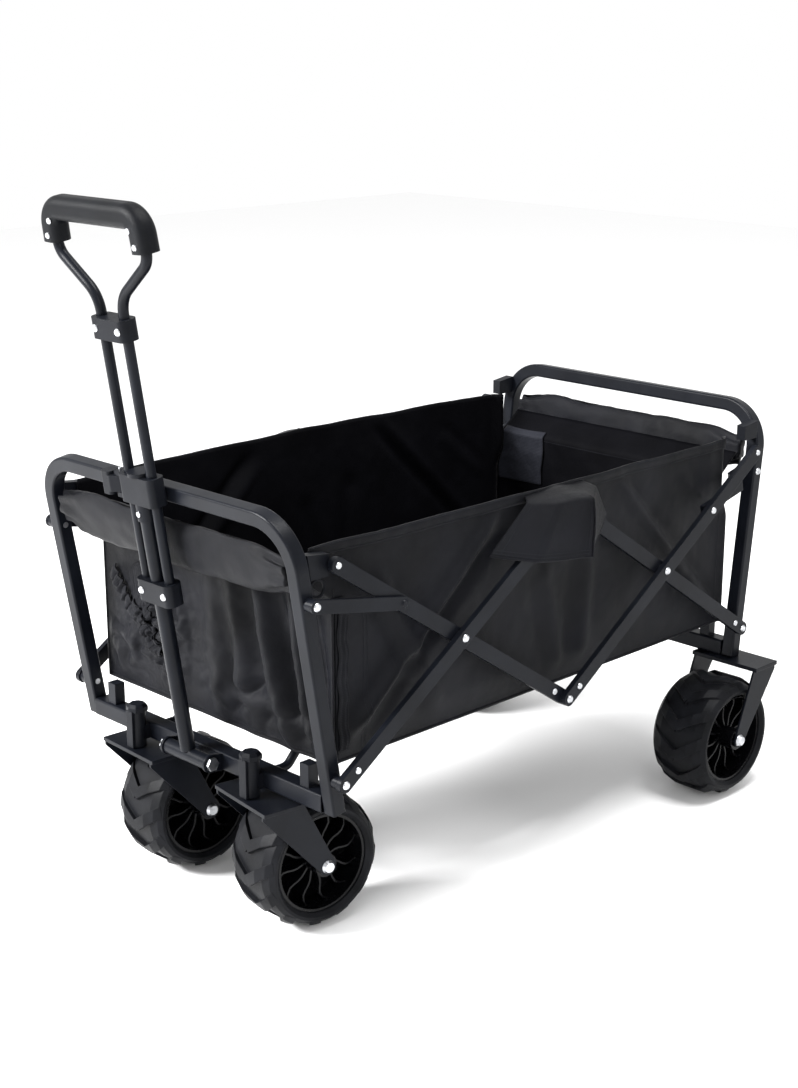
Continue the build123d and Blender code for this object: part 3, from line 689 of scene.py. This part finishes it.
def stitches(name, lines, out):
    """Rows of little stitches along each line of points, on the side that out gives."""
    verts, faces = [], []
    for points in lines:
        left = STITCH_PITCH / 2
        for a, b in zip(points, points[1:]):
            run = (b - a).length
            if run < 1e-6:
                continue
            ahead = (b - a) / run
            while left < run:
                stitch(verts, faces, a + ahead * left, ahead, out)
                left += STITCH_PITCH
            left -= run
    mesh = bpy.data.meshes.new(name)
    mesh.from_pydata([tuple(v) for v in verts], [], faces)
    piece = bpy.data.objects.new(name, mesh)
    bpy.context.collection.objects.link(piece)
    nothing_selected()
    bpy.context.view_layer.objects.active = piece
    piece.select_set(True)
    bpy.ops.object.mode_set(mode="EDIT")
    bpy.ops.mesh.select_all(action="SELECT")
    bpy.ops.mesh.normals_make_consistent(inside=False)
    bpy.ops.object.mode_set(mode="OBJECT")
    mesh.materials.append(thread)
    return piece


def piping(name, points, radius):
    """A thin round cord sewn into a seam, as a closed tube along the points."""
    curve = bpy.data.curves.new(name, "CURVE")
    curve.dimensions = "3D"
    curve.bevel_depth, curve.bevel_resolution, curve.use_fill_caps = radius, 2, True
    line = curve.splines.new("POLY")
    line.points.add(len(points) - 1)
    for knot, p in zip(line.points, points):
        knot.co = (*p, 1)
    piece = bpy.data.objects.new(name, curve)
    bpy.context.collection.objects.link(piece)
    nothing_selected()
    bpy.context.view_layer.objects.active = piece
    piece.select_set(True)
    bpy.ops.object.convert(target="MESH")
    piece = bpy.context.object
    piece.data.name = name
    bpy.ops.object.shade_smooth()
    piece.data.materials.clear()
    piece.data.materials.append(polyester)
    return piece


for side, s in SIDES.items():
    wall, flap = partial(wall_spot, s), partial(flap_spot, s)
    out = Vector((0, s, 0))
    rows = [pushed(along(wall, (0.004, v), (0.996, v), 160), out * 0.0038)
            for v in (0.9965, 0.957)]
    rows += [pushed(along(wall, (u, 0.02), (u, 0.93), 60), out * 0.0008)
             for u in (0.055, 0.063, 0.975)]
    gathers(stitches(f"side_stitching_{side}", rows, out))
    gathers(piping(f"bottom_piping_{side}", along(wall, (0.0, 0.004), (1.0, 0.004), 90), 0.0023))
    rows = [along(flap, (0.0, v), (FLAP_RIDGE, v), 30) for v in (0.95, 0.90)]
    rows += [along(flap, (u, 0.15), (u, 0.96), 26) for u in (0.05, 0.67)]
    rows = [pushed(row, out * 0.0010) for row in rows]
    gathers(stitches(f"flap_stitching_{side}", rows, out))
    gathers(piping(f"flap_border_{side}", along(flap, (0.0, 1), (1.0, 1), 40), 0.0013))
    ridge = pushed(along(flap, (FLAP_RIDGE, 0.1), (FLAP_RIDGE, 1), 24), out * 0.0006)
    gathers(piping(f"flap_ridge_{side}", ridge, 0.0012))

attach(piping("front_piping", along(front_spot, (0, 0.0), (1, 0.0), 80), 0.0026),
        "front_frame")
for u, side in ((0.0, "far"), (1.0, "near")):
    upright = along(front_spot, (u, 0.0), (u, 0.82), 50)
    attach(piping(f"front_corner_piping_{side}", upright, 0.0020), "front_frame")
rows = [pushed(along(front_spot, (0.01, v), (0.99, v), 120), (-0.0010, 0, 0))
        for v in (0.024, 0.79, 0.81)]
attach(stitches("front_stitching", rows, Vector((-1, 0, 0))), "front_frame")
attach(piping("rear_piping", along(rear_spot, (0, 0.0), (1, 0.0), 80), 0.0026), "rear_frame")
rows = [pushed(along(rear_spot, (0.01, v), (0.99, v), 120), (face_x, 0, 0))
        for v in (0.024, 0.80) for face_x in (0.0010, -0.0010)]
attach(stitches("rear_stitching", rows, Vector((1, 0, 0))), "rear_frame")

# ---------------------------------------------------------------------------
# Studio: a pale seamless floor, a white surround and large soft lights, with
# the camera at the wagon's near front corner.
# ---------------------------------------------------------------------------
nothing_selected()
bpy.ops.mesh.primitive_plane_add(size=14, location=(0, 0, -0.0005))
ground = bpy.context.object
ground.name = "studio_floor"
paper = bpy.data.materials.new("studio_paper")
paper.use_nodes = True
paper_shader = paper.node_tree.nodes["Principled BSDF"]
paper_shader.inputs["Base Color"].default_value = (0.93, 0.93, 0.93, 1)
paper_shader.inputs["Roughness"].default_value = 0.9
ground.data.materials.append(paper)

world = bpy.data.worlds.new("studio")
world.use_nodes = True
surround = world.node_tree.nodes["Background"]
surround.inputs["Color"].default_value = (1, 1, 1, 1)
surround.inputs["Strength"].default_value = 1.0
bpy.context.scene.world = world
bpy.context.scene.view_settings.view_transform = "Standard"


def turned_to(place, aim):
    """The turn that points a lamp or camera at place towards aim."""
    return (Vector(aim) - Vector(place)).to_track_quat("-Z", "Y").to_euler()


def softbox(name, place, aim, size, power):
    light = bpy.data.lights.new(name, "AREA")
    light.size, light.energy = size, power
    lamp = bpy.data.objects.new(name, light)
    bpy.context.collection.objects.link(lamp)
    lamp.location, lamp.rotation_euler = place, turned_to(place, aim)


softbox("key", (-2.6, 1.3, 1.9), (-0.1, 0, 0.35), 0.9, 290)
softbox("fill", (-1.6, -2.8, 1.7), (0, 0, 0.35), 1.2, 22)
softbox("top", (0.1, -0.7, 3.0), (0, 0, 0.3), 1.0, 80)

eye = (-1.769 + MID_X, -1.739, 1.1185)
lens = bpy.data.cameras.new("camera")
lens.lens, lens.sensor_width = 60.5, 36
camera = bpy.data.objects.new("camera", lens)
bpy.context.collection.objects.link(camera)
camera.location = eye
camera.rotation_euler = turned_to(eye, (-0.0267 + MID_X, 0.0264, 0.404))
bpy.context.scene.camera = camera
